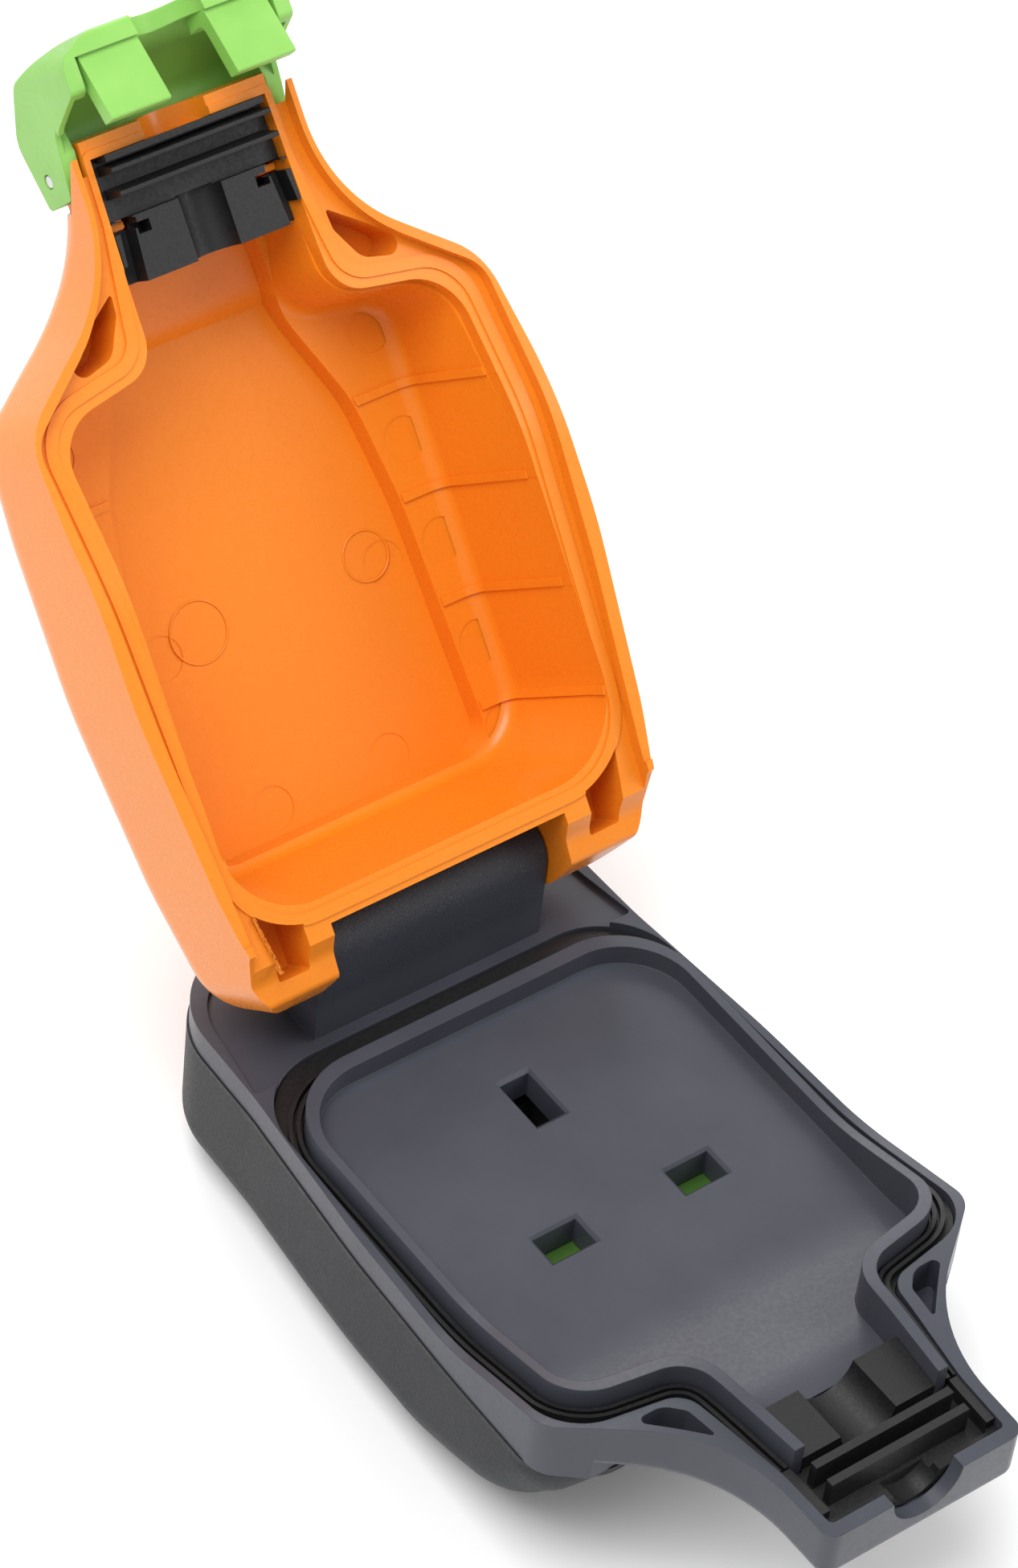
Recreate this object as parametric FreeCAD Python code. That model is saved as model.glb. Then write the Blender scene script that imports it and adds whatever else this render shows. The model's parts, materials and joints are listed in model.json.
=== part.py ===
import FreeCAD, Part
import math
import os

os.makedirs("parts", exist_ok=True)
V = FreeCAD.Vector

# The origin lies on the socket face, midway between the two line slots.

# Socket openings
LIVE_X = 11.115
EARTH_Y = 22.23
LINE_SLOT = (7.1, 4.7)
LINE_SLOT_MOUTH = (8.1, 5.6)
EARTH_SLOT = (4.8, 8.5)
EARTH_SLOT_MOUTH = (5.6, 9.7)
MOUTH_CHAMFER = 0.5
PLATE_THICKNESS = 3.0

# Sealing edge that climbs from the socket face to the cord neck
LIP_LOW = 3.35
LIP_HIGH = 10.0
RAMP_START_Y = -6.0
RAMP_END_Y = -31.3
RIM_DROP = 2.8
GROOVE_DEPTH = 3.0
BODY_BOTTOM = -3.9
NECK_BOTTOM = -1.8
NECK_END_Y = -61.6
NECK_FLOOR = 1.6
NECK_SHOULDER_Y = -52.4
DECK_HEIGHT = -0.4

# Hinge and latch
HINGE_Y = 51.3
HINGE_Z = 13.4
LID_OPEN_ANGLE = 129.1
BARREL_RADIUS = 4.6
BLOCK_HALF_WIDTH = 19.1
HINGE_PIN_RADIUS = 1.5
LATCH_Y = -57.3
LATCH_Z = 14.1
LATCH_PIN_RADIUS = 1.0
LATCH_SHUT_ANGLE = 24.0

# Lower cover
COVER_TOP = -4.9
COVER_BOTTOM = -27.0
COVER_WALL = 2.3
COVER_ROUNDING = 8.0
CORD_Z = -14.0
CORD_RADIUS = 4.0

# Shutter
SHUTTER_TRAVEL = 6.5
SHUTTER_THICKNESS = 1.6
SLOT_COLLAR_DEPTH = 1.95

# Clearances
RUNNING_CLEARANCE = 0.05
SCREW_CLEARANCE = 0.05
SHUTTER_GAP = 0.25
LAND_GAP = 0.6
BEAD_GAP = 0.3
SKIRT_OVERLAP = 1.55
SKIRT_GAP = 0.35
FIT_GAP = 0.15

# Outlines: right half from the rear to the front, each corner as (x, y, corner radius)
BODY_OUTLINE = [(31.7, 67.0, 13.0), (32.3, 42.0, 60.0), (34.6, 15.0, 150.0), (35.4, -8.0, 150.0),
                (35.4, -26.9, 5.0), (16.3, -42.1, 25.0), (16.1, -61.6, 2.2)]
LIP_OUTER = [(31.35, 39.7, 12.0), (31.35, -27.2, 7.3), (14.6, -30.2, 5.6), (12.6, -49.5, 0.0)]
LIP_INNER = [(30.0, 37.4, 10.6), (30.0, -25.4, 6.0), (13.0, -28.6, 7.0), (11.0, -49.5, 0.0)]
GROOVE_OUTER = [(32.4, 44.9, 12.0), (33.3, 15.0, 150.0), (34.1, -8.0, 150.0), (34.1, -29.7, 8.0),
                (17.2, -32.7, 4.0), (14.6, -50.0, 20.0), (14.3, -59.5, 0.8)]
DECK_OUTLINE = [(29.4, 63.9, 11.0), (30.4, 52.0, 30.0), (31.9, 42.3, 0.6)]
GASKET_OUTLINE = [(31.9, 67.2, 13.0), (32.5, 42.0, 60.0), (34.8, 15.0, 150.0), (35.6, -8.0, 150.0),
                  (35.6, -25.7, 5.0), (27.6, -31.5, 6.0)]
COVER_OUTLINE = [(31.9, 67.2, 13.0), (32.5, 42.0, 60.0), (34.8, 15.0, 150.0), (35.6, -8.0, 150.0),
                 (35.6, -25.7, 9.0), (27.6, -31.5, 9.0)]
SKIRT_OUTLINE = [(31.4, 57.6, 10.0), (35.0, 36.5, 60.0), (37.4, 10.0, 100.0), (37.3, -14.0, 60.0),
                 (36.4, -28.4, 10.0), (17.4, -43.4, 22.0), (17.3, -75.0, 0.0)]
CROWN_OUTLINE = [(27.0, 44.5, 8.0), (25.4, 2.0, 60.0), (23.0, -14.0, 25.0), (17.6, -27.0, 25.0),
                 (13.2, -44.0, 25.0), (12.4, -75.0, 0.0)]
PANEL_OUTLINE = [(24.2, 39.3, 5.0), (22.6, 2.0, 60.0), (20.2, -14.0, 25.0), (14.6, -27.0, 20.0),
                 (9.8, -46.0, 20.0), (9.4, -58.0, 1.5)]

LID_WALL = [(31.7, 42.6, 12.0), (31.7, -27.55, 7.6), (15.0, -30.5, 5.6), (14.2, -59.2, 0.0)]
LID_WALL_DRAFT = 2.45
LID_SHELF_HEIGHT = 23.0

# Shallow ribs across the inner walls of the lid, and ejector marks beside them
LID_RIB_Y = [-13.4, 1.6, 17.2, 33.0]
LID_MARKS = [(25.7, -21.9), (25.8, -6.0), (26.5, 9.1), (27.0, 24.5), (26.8, 36.9)]
PANEL_MARKS = [(9.8, 34.9), (-9.8, 34.9), (18.4, 9.5), (-18.4, 9.5)]


# Drawing helpers
def corner_arcs(points):
    """Start, middle and end of the rounding at each corner of a closed outline."""
    result = []
    count = len(points)
    for index in range(count):
        before = points[index - 1]
        here = points[index]
        after = points[(index + 1) % count]
        ax, ay = before[0] - here[0], before[1] - here[1]
        bx, by = after[0] - here[0], after[1] - here[1]
        a_len = math.hypot(ax, ay)
        b_len = math.hypot(bx, by)
        ax, ay, bx, by = ax / a_len, ay / a_len, bx / b_len, by / b_len
        radius = here[2]
        turn = math.acos(max(-1.0, min(1.0, ax * bx + ay * by)))
        if radius <= 0.0 or turn > math.pi - 1e-4:
            result.append((here[:2], None, here[:2]))
            continue
        reach = radius / math.tan(turn / 2.0)
        mx, my = ax + bx, ay + by
        m_len = math.hypot(mx, my)
        to_arc = radius / math.sin(turn / 2.0) - radius
        start = (here[0] + ax * reach, here[1] + ay * reach)
        middle = (here[0] + mx / m_len * to_arc, here[1] + my / m_len * to_arc)
        end = (here[0] + bx * reach, here[1] + by * reach)
        result.append((start, middle, end))
    return result


def loop(points, place):
    """Closed wire of straight lines and arcs; place turns a flat point into a vector."""
    arcs = corner_arcs(points)
    edges = []
    for index, (start, middle, end) in enumerate(arcs):
        if middle is not None:
            edges.append(Part.Arc(place(start), place(middle), place(end)).toShape())
        following = arcs[(index + 1) % len(arcs)][0]
        if math.hypot(following[0] - end[0], following[1] - end[1]) > 1e-6:
            edges.append(Part.makeLine(place(end), place(following)))
    return Part.Wire(edges)


def mirrored(half):
    return list(half) + [(-x, y, r) for x, y, r in reversed(half)]


def flat_wire(points, z):
    return loop(points, lambda p: V(p[0], p[1], z))


def prism(half, z_low, z_high):
    """Upright solid on an outline that is the same left and right."""
    wire = flat_wire(mirrored(half), z_low)
    return Part.Face(wire).extrude(V(0, 0, z_high - z_low))


def side_prism(points, x_low, x_high):
    """Solid with a side profile of (y, z, corner radius), running across the width."""
    wire = loop(points, lambda p: V(x_low, p[0], p[1]))
    return Part.Face(wire).extrude(V(x_high - x_low, 0, 0))


def inset(half, distance):
    """The outline moved inwards; a negative distance moves it outwards."""
    points = mirrored(half)
    count = len(points)
    area = 0.0
    for index in range(count):
        x0, y0, _ = points[index]
        x1, y1, _ = points[(index + 1) % count]
        area += x0 * y1 - x1 * y0
    side = 1.0 if area > 0 else -1.0
    moved = []
    for index in range(len(half)):
        before = points[index - 1]
        here = points[index]
        after = points[(index + 1) % count]
        ax, ay = here[0] - before[0], here[1] - before[1]
        bx, by = after[0] - here[0], after[1] - here[1]
        a_len, b_len = math.hypot(ax, ay), math.hypot(bx, by)
        ax, ay, bx, by = ax / a_len, ay / a_len, bx / b_len, by / b_len
        nax, nay = -ay * side, ax * side
        nbx, nby = -by * side, bx * side
        scale = distance / (1.0 + nax * nbx + nay * nby)
        convex = (ax * by - ay * bx) * side > 0
        radius = here[2]
        if radius > 0:
            radius = radius - distance if convex else radius + distance
            radius = max(radius, 0.25)
        moved.append((here[0] + (nax + nbx) * scale, here[1] + (nay + nby) * scale, radius))
    return moved


def loft(sections):
    """Smooth solid through closed outlines, each given as (half outline, height)."""
    wires = [flat_wire(mirrored(half), z) for half, z in sections]
    return Part.makeLoft(wires, True, False)


def box(x0, x1, y0, y1, z0, z1):
    return Part.makeBox(x1 - x0, y1 - y0, z1 - z0, V(x0, y0, z0))


def both_sides(shape):
    return [shape, shape.mirror(V(0, 0, 0), V(1, 0, 0))]


def round_bar(radius, x0, x1, y, z):
    return Part.makeCylinder(radius, x1 - x0, V(x0, y, z), V(1, 0, 0))


def post(radius, x, y, z0, z1):
    return Part.makeCylinder(radius, z1 - z0, V(x, y, z0), V(0, 0, 1))


def below_ramp(shift):
    """Everything under the climbing sealing line, moved up or down by shift."""
    profile = [(95.0, -70.0, 0.0), (95.0, LIP_LOW + shift, 0.0), (RAMP_START_Y, LIP_LOW + shift, 40.0),
               (RAMP_END_Y, LIP_HIGH + shift, 70.0), (-95.0, LIP_HIGH + shift, 0.0), (-95.0, -70.0, 0.0)]
    return side_prism(profile, -60.0, 60.0)


def slot_cutter(width_x, width_y, mouth_x, mouth_y, x, y):
    """Straight slot through the plate with a sloping mouth."""
    straight = box(x - width_x / 2, x + width_x / 2, y - width_y / 2, y + width_y / 2, -8.0, 1.0)
    low = Part.makePolygon([V(x - width_x / 2, y - width_y / 2, -MOUTH_CHAMFER),
                            V(x + width_x / 2, y - width_y / 2, -MOUTH_CHAMFER),
                            V(x + width_x / 2, y + width_y / 2, -MOUTH_CHAMFER),
                            V(x - width_x / 2, y + width_y / 2, -MOUTH_CHAMFER),
                            V(x - width_x / 2, y - width_y / 2, -MOUTH_CHAMFER)])
    high = Part.makePolygon([V(x - mouth_x / 2, y - mouth_y / 2, 0.0),
                             V(x + mouth_x / 2, y - mouth_y / 2, 0.0),
                             V(x + mouth_x / 2, y + mouth_y / 2, 0.0),
                             V(x - mouth_x / 2, y + mouth_y / 2, 0.0),
                             V(x - mouth_x / 2, y - mouth_y / 2, 0.0)])
    return straight.fuse(Part.makeLoft([low, high], True, True))


def joined(shape, others):
    return shape.fuse(others).removeSplitter()


# Base: upper body
COVER_SCREWS = [(20.6, 12.0), (20.6, 44.0)]
CARRIER_SCREWS = [(12.5, 24.0)]


def body_floor():
    """Solid under the plug tray: flat at the face, then rising into the neck."""
    profile = [(80.0, -70.0, 0.0), (80.0, 0.0, 0.0), (-19.0, 0.0, 40.0), (-36.0, 3.2, 25.0),
               (-80.0, 3.2, 0.0), (-80.0, -70.0, 0.0)]
    return side_prism(profile, -60.0, 60.0)


def hinge_block():
    upright = side_prism([(46.7, -3.0, 0.0), (46.7, HINGE_Z, 0.0), (55.9, HINGE_Z, 0.0),
                          (55.9, -3.0, 0.0)], -BLOCK_HALF_WIDTH, BLOCK_HALF_WIDTH)
    barrel = round_bar(BARREL_RADIUS, -BLOCK_HALF_WIDTH, BLOCK_HALF_WIDTH, HINGE_Y, HINGE_Z)
    stop = side_prism([(54.0, -3.0, 0.0), (54.0, 11.6, 0.0), (56.6, 11.6, 0.6), (61.6, 7.5, 1.2),
                       (63.2, -3.0, 0.0)], -16.5, 16.5)
    return upright.fuse([barrel, stop])


def upper_body():
    outer = prism(BODY_OUTLINE, BODY_BOTTOM, 14.0)
    body = outer.common(below_ramp(-RIM_DROP))
    body = body.cut(box(-45, 45, -70, -31.3, -10, NECK_BOTTOM))
    low_edges = [e for e in body.Edges
                 if all(abs(v.Z - NECK_BOTTOM) < 1e-4 and v.Y < -31.5 for v in e.Vertexes)]
    body = body.makeFillet(2.2, low_edges)
    lip = prism(LIP_OUTER, -1.0, 14.0).common(below_ramp(0.0))
    body = body.fuse(lip)
    ring = prism(GROOVE_OUTER, -20.0, 20.0).cut(prism(LIP_OUTER, -21.0, 21.0))
    body = body.cut(ring.cut(below_ramp(-RIM_DROP - GROOVE_DEPTH)))
    body = body.cut(prism(LIP_INNER, -20.0, 20.0).cut(body_floor()))
    body = body.cut(neck_recess())
    body = body.cut(shoulder_pockets())
    deck_ring = prism(DECK_OUTLINE, DECK_HEIGHT, 5.0).cut(prism(GROOVE_OUTER, -20.0, 20.0))
    body = body.cut(deck_ring)
    body = body.fuse(hinge_block())
    underside = prism(inset(BODY_OUTLINE[:5] + [(27.0, -31.5, 4.0)], 2.6), BODY_BOTTOM - 1, -PLATE_THICKNESS)
    underside = underside.common(box(-45, 45, -28.5, 64.0, -10, 0))
    body = body.cut(underside)
    body = body.fuse(body_bosses())
    body = body.cut(body_holes())
    return body.removeSplitter()


def neck_recess():
    """Hollow that the rubber cord pad sits in, leaving the lip ends standing."""
    region = prism(GROOVE_OUTER, NECK_FLOOR, 20.0).common(box(-20, 20, -59.5, -40.3, NECK_FLOOR, 20))
    beside = prism(GROOVE_OUTER, -20.0, 20.0).cut(prism(LIP_INNER, -21.0, 21.0))
    beside = beside.common(box(-20, 20, -49.5, -40.0, -10, 20))
    notch = Part.makeCylinder(5.7, 4.0, V(0, NECK_END_Y - 0.5, 7.3), V(0, 1, 0))
    return region.cut(beside).fuse(notch)


def shoulder_pockets():
    pocket = [(25.6, -32.9, 0.8), (20.9, -32.9, 3.0), (18.6, -35.4, 1.5), (17.9, -40.9, 0.3),
              (21.2, -37.4, 8.0)]
    wire = flat_wire(pocket, 1.2)
    solid = Part.Face(wire).extrude(V(0, 0, 12.0))
    return Part.makeCompound(both_sides(solid))


def body_bosses():
    solids = []
    for x, y in COVER_SCREWS:
        solids += both_sides(post(3.2, x, y, -20.0, -PLATE_THICKNESS + 0.5))
    for x, y in CARRIER_SCREWS:
        solids += both_sides(post(2.6, x, y, -8.7, -PLATE_THICKNESS + 0.5))
    shelf = -PLATE_THICKNESS - SLOT_COLLAR_DEPTH - SHUTTER_GAP - SHUTTER_THICKNESS - 0.35
    rail = box(15.9, 17.7, -9.0, 14.0, shelf - 1.2, -PLATE_THICKNESS + 0.5)
    ledge = box(14.4, 16.2, -9.0, 14.0, shelf - 1.2, shelf)
    rest = box(14.4, 17.0, 10.7, 14.0, shelf - 0.2, -PLATE_THICKNESS + 0.5)
    solids += both_sides(rail.fuse([ledge, rest]))
    for width_x, width_y, x, y in ((*LINE_SLOT, -LIVE_X, 0.0), (*LINE_SLOT, LIVE_X, 0.0),
                                   (*EARTH_SLOT, 0.0, EARTH_Y)):
        solids.append(box(x - width_x / 2 - 1.3, x + width_x / 2 + 1.3, y - width_y / 2 - 1.3,
                          y + width_y / 2 + 1.3, -PLATE_THICKNESS - SLOT_COLLAR_DEPTH, -PLATE_THICKNESS + 0.5))
    solids.append(box(-3.0, 3.0, -22.4, -20.6, -8.6, -PLATE_THICKNESS + 0.5))
    return solids


def body_holes():
    holes = [slot_cutter(*LINE_SLOT, *LINE_SLOT_MOUTH, -LIVE_X, 0.0),
             slot_cutter(*LINE_SLOT, *LINE_SLOT_MOUTH, LIVE_X, 0.0),
             slot_cutter(*EARTH_SLOT, *EARTH_SLOT_MOUTH, 0.0, EARTH_Y)]
    for x, y in COVER_SCREWS:
        holes += both_sides(post(1.5, x, y, -21.0, -7.0))
    for x, y in CARRIER_SCREWS:
        holes += both_sides(post(1.2, x, y, -9.5, -4.4))
    holes.append(round_bar(HINGE_PIN_RADIUS, -BLOCK_HALF_WIDTH - 1, BLOCK_HALF_WIDTH + 1, HINGE_Y, HINGE_Z))
    return holes


# Base: seals
def face_seal():
    """One rubber moulding: the loop around the lip and the ribbed cord pad in the neck."""
    loop_outer = prism(inset(GROOVE_OUTER, FIT_GAP), -20.0, 20.0)
    loop_inner = prism(inset(LIP_OUTER, -FIT_GAP), -21.0, 21.0)
    ring = loop_outer.cut(loop_inner)
    strip = ring.common(below_ramp(-RIM_DROP - 1.5)).cut(below_ramp(-RIM_DROP - GROOVE_DEPTH + 0.1))
    first = prism(inset(LIP_OUTER, -1.05), -20, 20).cut(prism(inset(LIP_OUTER, -0.45), -21, 21))
    second = prism(inset(LIP_OUTER, -2.15), -20, 20).cut(prism(inset(LIP_OUTER, -1.55), -21, 21))
    ridges = first.fuse(second).common(loop_outer).common(below_ramp(-RIM_DROP - 0.35))
    ridges = ridges.cut(below_ramp(-RIM_DROP - 2.0))
    seal = strip.fuse(ridges)
    seal = seal.cut(box(-14.9, 14.9, -70, -49.3, -10, 20))
    return joined(seal, [cord_pad()])


def cord_pad():
    """Ribbed pad between the free ends of the lip, with a half-round channel along it."""
    region = prism(inset(GROOVE_OUTER, FIT_GAP), NECK_FLOOR + 0.1, 20.0)
    slab = region.common(box(-20, 20, -59.35, -49.65, NECK_FLOOR + 0.1, 4.4))
    inner = prism(inset(LIP_INNER, FIT_GAP), NECK_FLOOR + 0.1, 20.0)
    saddle = inner.common(box(-20, 20, -49.35, -40.45, NECK_FLOOR + 0.1, 7.0))
    links = [box(-10.7, 10.7, -49.9, -49.2, NECK_FLOOR + 0.1, 4.4)]
    links += [region.common(side) for side in both_sides(box(12.8, 14.6, -49.9, -49.2, 4.32, 5.4))]
    ring = region.cut(prism(inset(GROOVE_OUTER, 1.5), 0, 21))
    wall = ring.common(box(-20, 20, -59.35, -49.65, 2, 5.4))
    sides = ring.common(box(-20, 20, -57.6, -49.65, 2, 6.9))
    ribs = []
    for y in (-51.9, -55.1):
        rib = region.common(box(-11.3, 11.3, y - 0.6, y + 0.6, 2.0, 8.7))
        ribs.append(rib)
    pad = slab.fuse([saddle, wall, sides] + links + ribs)
    channel = Part.makeCylinder(4.6, 12.0, V(0, -50.2, 7.6), V(0, 1, 0))
    pad = pad.cut(channel)
    hollow = Part.makeCylinder(4.0, 6.0, V(0, -62.3, 6.4), V(0, 1, 0))
    return pad.cut(hollow).removeSplitter()


def body_gasket():
    outer = prism(GASKET_OUTLINE, COVER_TOP + 0.02, BODY_BOTTOM - 0.02)
    inner = prism(inset(GASKET_OUTLINE, 2.4), COVER_TOP - 1, BODY_BOTTOM + 1)
    return outer.cut(inner)


# Base: lower cover
def cover_form(shrink, top):
    """Bowl of the lower cover with its sloping bow, made smaller all round by shrink."""
    wall = inset(COVER_OUTLINE, shrink)
    low = COVER_BOTTOM + shrink
    trimmed_top = top
    top = top + 3.0
    block = prism(wall, low, top)
    rise = top - COVER_TOP
    bow = side_prism([(80.0, top + 10.0, 0.0), (80.0, low, 0.0), (26.0, low, 120.0),
                      (-2.0 + shrink * 0.3, low + 1.2, 30.0), (-20.0 + shrink * 0.8, low + 6.5, 16.0),
                      (-31.4 + shrink - 0.72 * (rise + 1.0), COVER_TOP + rise + 1.0, 0.0),
                      (-60.0, top + 10.0, 0.0)], -60.0, 60.0)
    block = block.common(bow)
    edges = []
    for edge in block.Edges:
        first, last = edge.Vertexes[0], edge.Vertexes[-1]
        upright = abs(first.X - last.X) < 1e-4 and abs(first.Y - last.Y) < 1e-4
        level = abs(first.Y - last.Y) < 1e-4 and abs(first.Z - last.Z) < 1e-4
        across = level and abs(first.X + last.X) < 1e-3 and first.Y < 50.0
        at_top = abs(first.Z - top) < 1e-3 and abs(last.Z - top) < 1e-3
        if not upright and not across and not at_top:
            edges.append(edge)
    block = block.makeFillet(COVER_ROUNDING - shrink, edges)
    return block.common(box(-60, 60, -80, 90, low - 1.0, trimmed_top))


def lower_cover():
    shell = cover_form(0.0, COVER_TOP)
    inside = cover_form(COVER_WALL, COVER_TOP + 2.0)
    gland = Part.makeCylinder(8.0, 7.2, V(0, 59.5, CORD_Z), V(0, 1, 0))
    tubes = []
    for x, y in COVER_SCREWS:
        tubes += both_sides(post(4.3, x, y, -26.0, -20.3))
    saddle = box(-12.0, 12.0, 50.0, 55.0, -26.0, -18.4)
    solid = shell.cut(inside)
    solid = solid.fuse(tubes + [saddle, gland])
    cuts = [Part.makeCylinder(CORD_RADIUS + 0.2, 8.0, V(0, 48.5, CORD_Z), V(0, 1, 0)),
            Part.makeCylinder(5.3, 12.0, V(0, 57.0, CORD_Z), V(0, 1, 0)),
            Part.makeCylinder(6.9, 2.7, V(0, 57.4, CORD_Z), V(0, 1, 0))]
    for x, y in COVER_SCREWS:
        cuts += both_sides(post(3.2, x, y, -28.0, -22.0))
        cuts += both_sides(post(1.5 + 0.25, x, y, -28.0, -19.0))
    for x in (-8.5, 8.5):
        cuts.append(post(1.2, x, 52.5, -24.5, -17.0))
    return solid.cut(cuts).removeSplitter()


# Base: metal parts
def head_screw(x, y, head_z, up, head_radius, head_height, shank_radius, length):
    """Round-head screw with a cross slot; up is +1 when the shank points up."""
    low = head_z - head_height if up > 0 else head_z
    head = post(head_radius, x, y, low, low + head_height)
    rim = [e for e in head.Edges if len(e.Vertexes) == 1 and
           abs(e.Vertexes[0].Z - (head_z - head_height * up)) < 1e-6]
    head = head.makeFillet(min(0.5, head_height * 0.4), rim)
    end = head_z + length * up
    shank = post(shank_radius, x, y, min(head_z, end), max(head_z, end))
    face = head_z - head_height * up
    depth = min(0.9, head_height * 0.5)
    z0, z1 = (face, face + depth * up) if up > 0 else (face - depth, face)
    slots = [box(x - head_radius * 0.62, x + head_radius * 0.62, y - 0.35, y + 0.35, z0 - 0.01, z1 + 0.01),
             box(x - 0.35, x + 0.35, y - head_radius * 0.62, y + head_radius * 0.62, z0 - 0.01, z1 + 0.01)]
    return head.fuse(shank).cut(slots)


def cover_screws():
    solids = []
    for x, y in COVER_SCREWS:
        for sx in (x, -x):
            solids.append(head_screw(sx, y, -22.0, 1, 2.8, 1.9, 1.5 - SCREW_CLEARANCE, 13.5))
    return Part.makeCompound(solids)


def carrier_screws():
    solids = []
    for x, y in CARRIER_SCREWS:
        for sx in (x, -x):
            solids.append(head_screw(sx, y, -20.1, 1, 2.3, 1.4, 1.2 - SCREW_CLEARANCE, 15.0))
    return Part.makeCompound(solids)


def hinge_pin():
    half = 29.2
    pin = round_bar(HINGE_PIN_RADIUS, -half, half, HINGE_Y, HINGE_Z)
    return pin.makeChamfer(0.25, [e for e in pin.Edges if len(e.Vertexes) == 1])


def contact_carrier():
    block = prism([(17.0, 36.5, 2.0), (17.0, -8.6, 2.0)], -20.0, -8.8)
    cuts = []
    for side in (-1, 1):
        x = side * LIVE_X
        cuts.append(box(x - 4.15, x + 4.15, -3.4, 3.4, -21, -8))
        cuts.append(box(x - 3.75, x + 3.75, 3.0, 10.6, -21, -13.8))
    cuts.append(box(-3.1, 3.1, EARTH_Y - 5.1, EARTH_Y + 5.1, -21, -8))
    cuts.append(box(-4.1, 4.1, EARTH_Y + 4.1, 34.6, -21, -13.8))
    cuts.append(box(-4.8, 4.8, 8.4, 27.4, -13.4, -8))
    cuts.append(box(-3.2, 3.2, -9.0, 9.7, -9.6, -8))
    for x, y in CARRIER_SCREWS:
        cuts += both_sides(post(1.35, x, y, -21, -8))
    return block.cut(cuts).removeSplitter()


def clip_contact(x, y, inner_x, inner_y, top, bottom, block_y0, block_y1, block_half):
    """Brass sleeve gripping one pin, slit along one side, with its wire block behind."""
    wall = 0.6
    sleeve = box(x - inner_x / 2 - wall, x + inner_x / 2 + wall, y - inner_y / 2 - wall,
                 y + inner_y / 2 + wall, bottom, top)
    hollow = box(x - inner_x / 2, x + inner_x / 2, y - inner_y / 2, y + inner_y / 2, bottom - 1, top + 1)
    slit = box(x - 0.5, x + 0.5, y - inner_y / 2 - wall - 1, y - inner_y / 2 + 0.1, bottom - 1, top + 1)
    tongue = box(x - block_half, x + block_half, y + inner_y / 2 + wall - 0.4, block_y0 + 0.5, -18.5, -17.3)
    wire_block = box(x - block_half, x + block_half, block_y0, block_y1, -20.0, -14.4)
    shape = sleeve.cut([hollow, slit]).fuse([tongue, wire_block])
    middle = (block_y0 + block_y1) / 2
    wire_hole = Part.makeCylinder(1.5, 2 * block_half + 2, V(x - block_half - 1, middle, -16.4), V(1, 0, 0))
    screw_hole = post(1.25, x, middle, -21, -16.0)
    return shape.cut([wire_hole, screw_hole]).removeSplitter()


def live_contact():
    return clip_contact(LIVE_X, 0.0, 6.5, 4.2, -9.2, -19.8, 4.4, 10.2, 3.3)


def neutral_contact():
    return clip_contact(-LIVE_X, 0.0, 6.5, 4.2, -9.2, -19.8, 4.4, 10.2, 3.3)


def earth_contact():
    return clip_contact(0.0, EARTH_Y, 4.2, 8.2, -13.6, -19.8, EARTH_Y + 6.0, 34.2, 3.7)


def terminal_screws():
    spots = [(-LIVE_X, 7.3), (LIVE_X, 7.3), (0.0, (EARTH_Y + 6.0 + 34.2) / 2)]
    return Part.makeCompound([head_screw(x, y, -20.2, 1, 2.0, 1.2, 1.25 - SCREW_CLEARANCE, 3.4)
                              for x, y in spots])


def cord_clamp_bar():
    bar = box(-11.6, 11.6, 50.2, 54.8, -13.6, -9.2)
    edges = [e for e in bar.Edges if abs(e.Vertexes[0].X - e.Vertexes[-1].X) < 1e-6
             and abs(e.Vertexes[0].Z - e.Vertexes[-1].Z) < 1e-6 and e.Vertexes[0].Z > -10]
    bar = bar.makeFillet(1.2, edges)
    cuts = [Part.makeCylinder(CORD_RADIUS, 8.0, V(0, 48.5, CORD_Z), V(0, 1, 0))]
    for x in (-8.5, 8.5):
        cuts.append(post(1.4, x, 52.5, -15, -8))
    return bar.cut(cuts)


def cord_clamp_screws():
    return Part.makeCompound([head_screw(x, 52.5, -9.1, -1, 2.3, 1.4, 1.2 - SCREW_CLEARANCE, 14.5)
                              for x in (-8.5, 8.5)])


def cord_grommet():
    waist = Part.makeCylinder(5.2, 9.4, V(0, 58.5, CORD_Z), V(0, 1, 0))
    inner = Part.makeCylinder(6.6, 2.2, V(0, 57.7, CORD_Z), V(0, 1, 0))
    outer = Part.makeCylinder(6.8, 2.0, V(0, 67.35, CORD_Z), V(0, 1, 0))
    rim = [e for e in outer.Edges if len(e.Vertexes) == 1 and e.Vertexes[0].Y > 68]
    outer = outer.makeFillet(0.9, rim)
    bore = Part.makeCylinder(CORD_RADIUS, 15.0, V(0, 56.0, CORD_Z), V(0, 1, 0))
    return waist.fuse([inner, outer]).cut(bore).removeSplitter()


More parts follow.
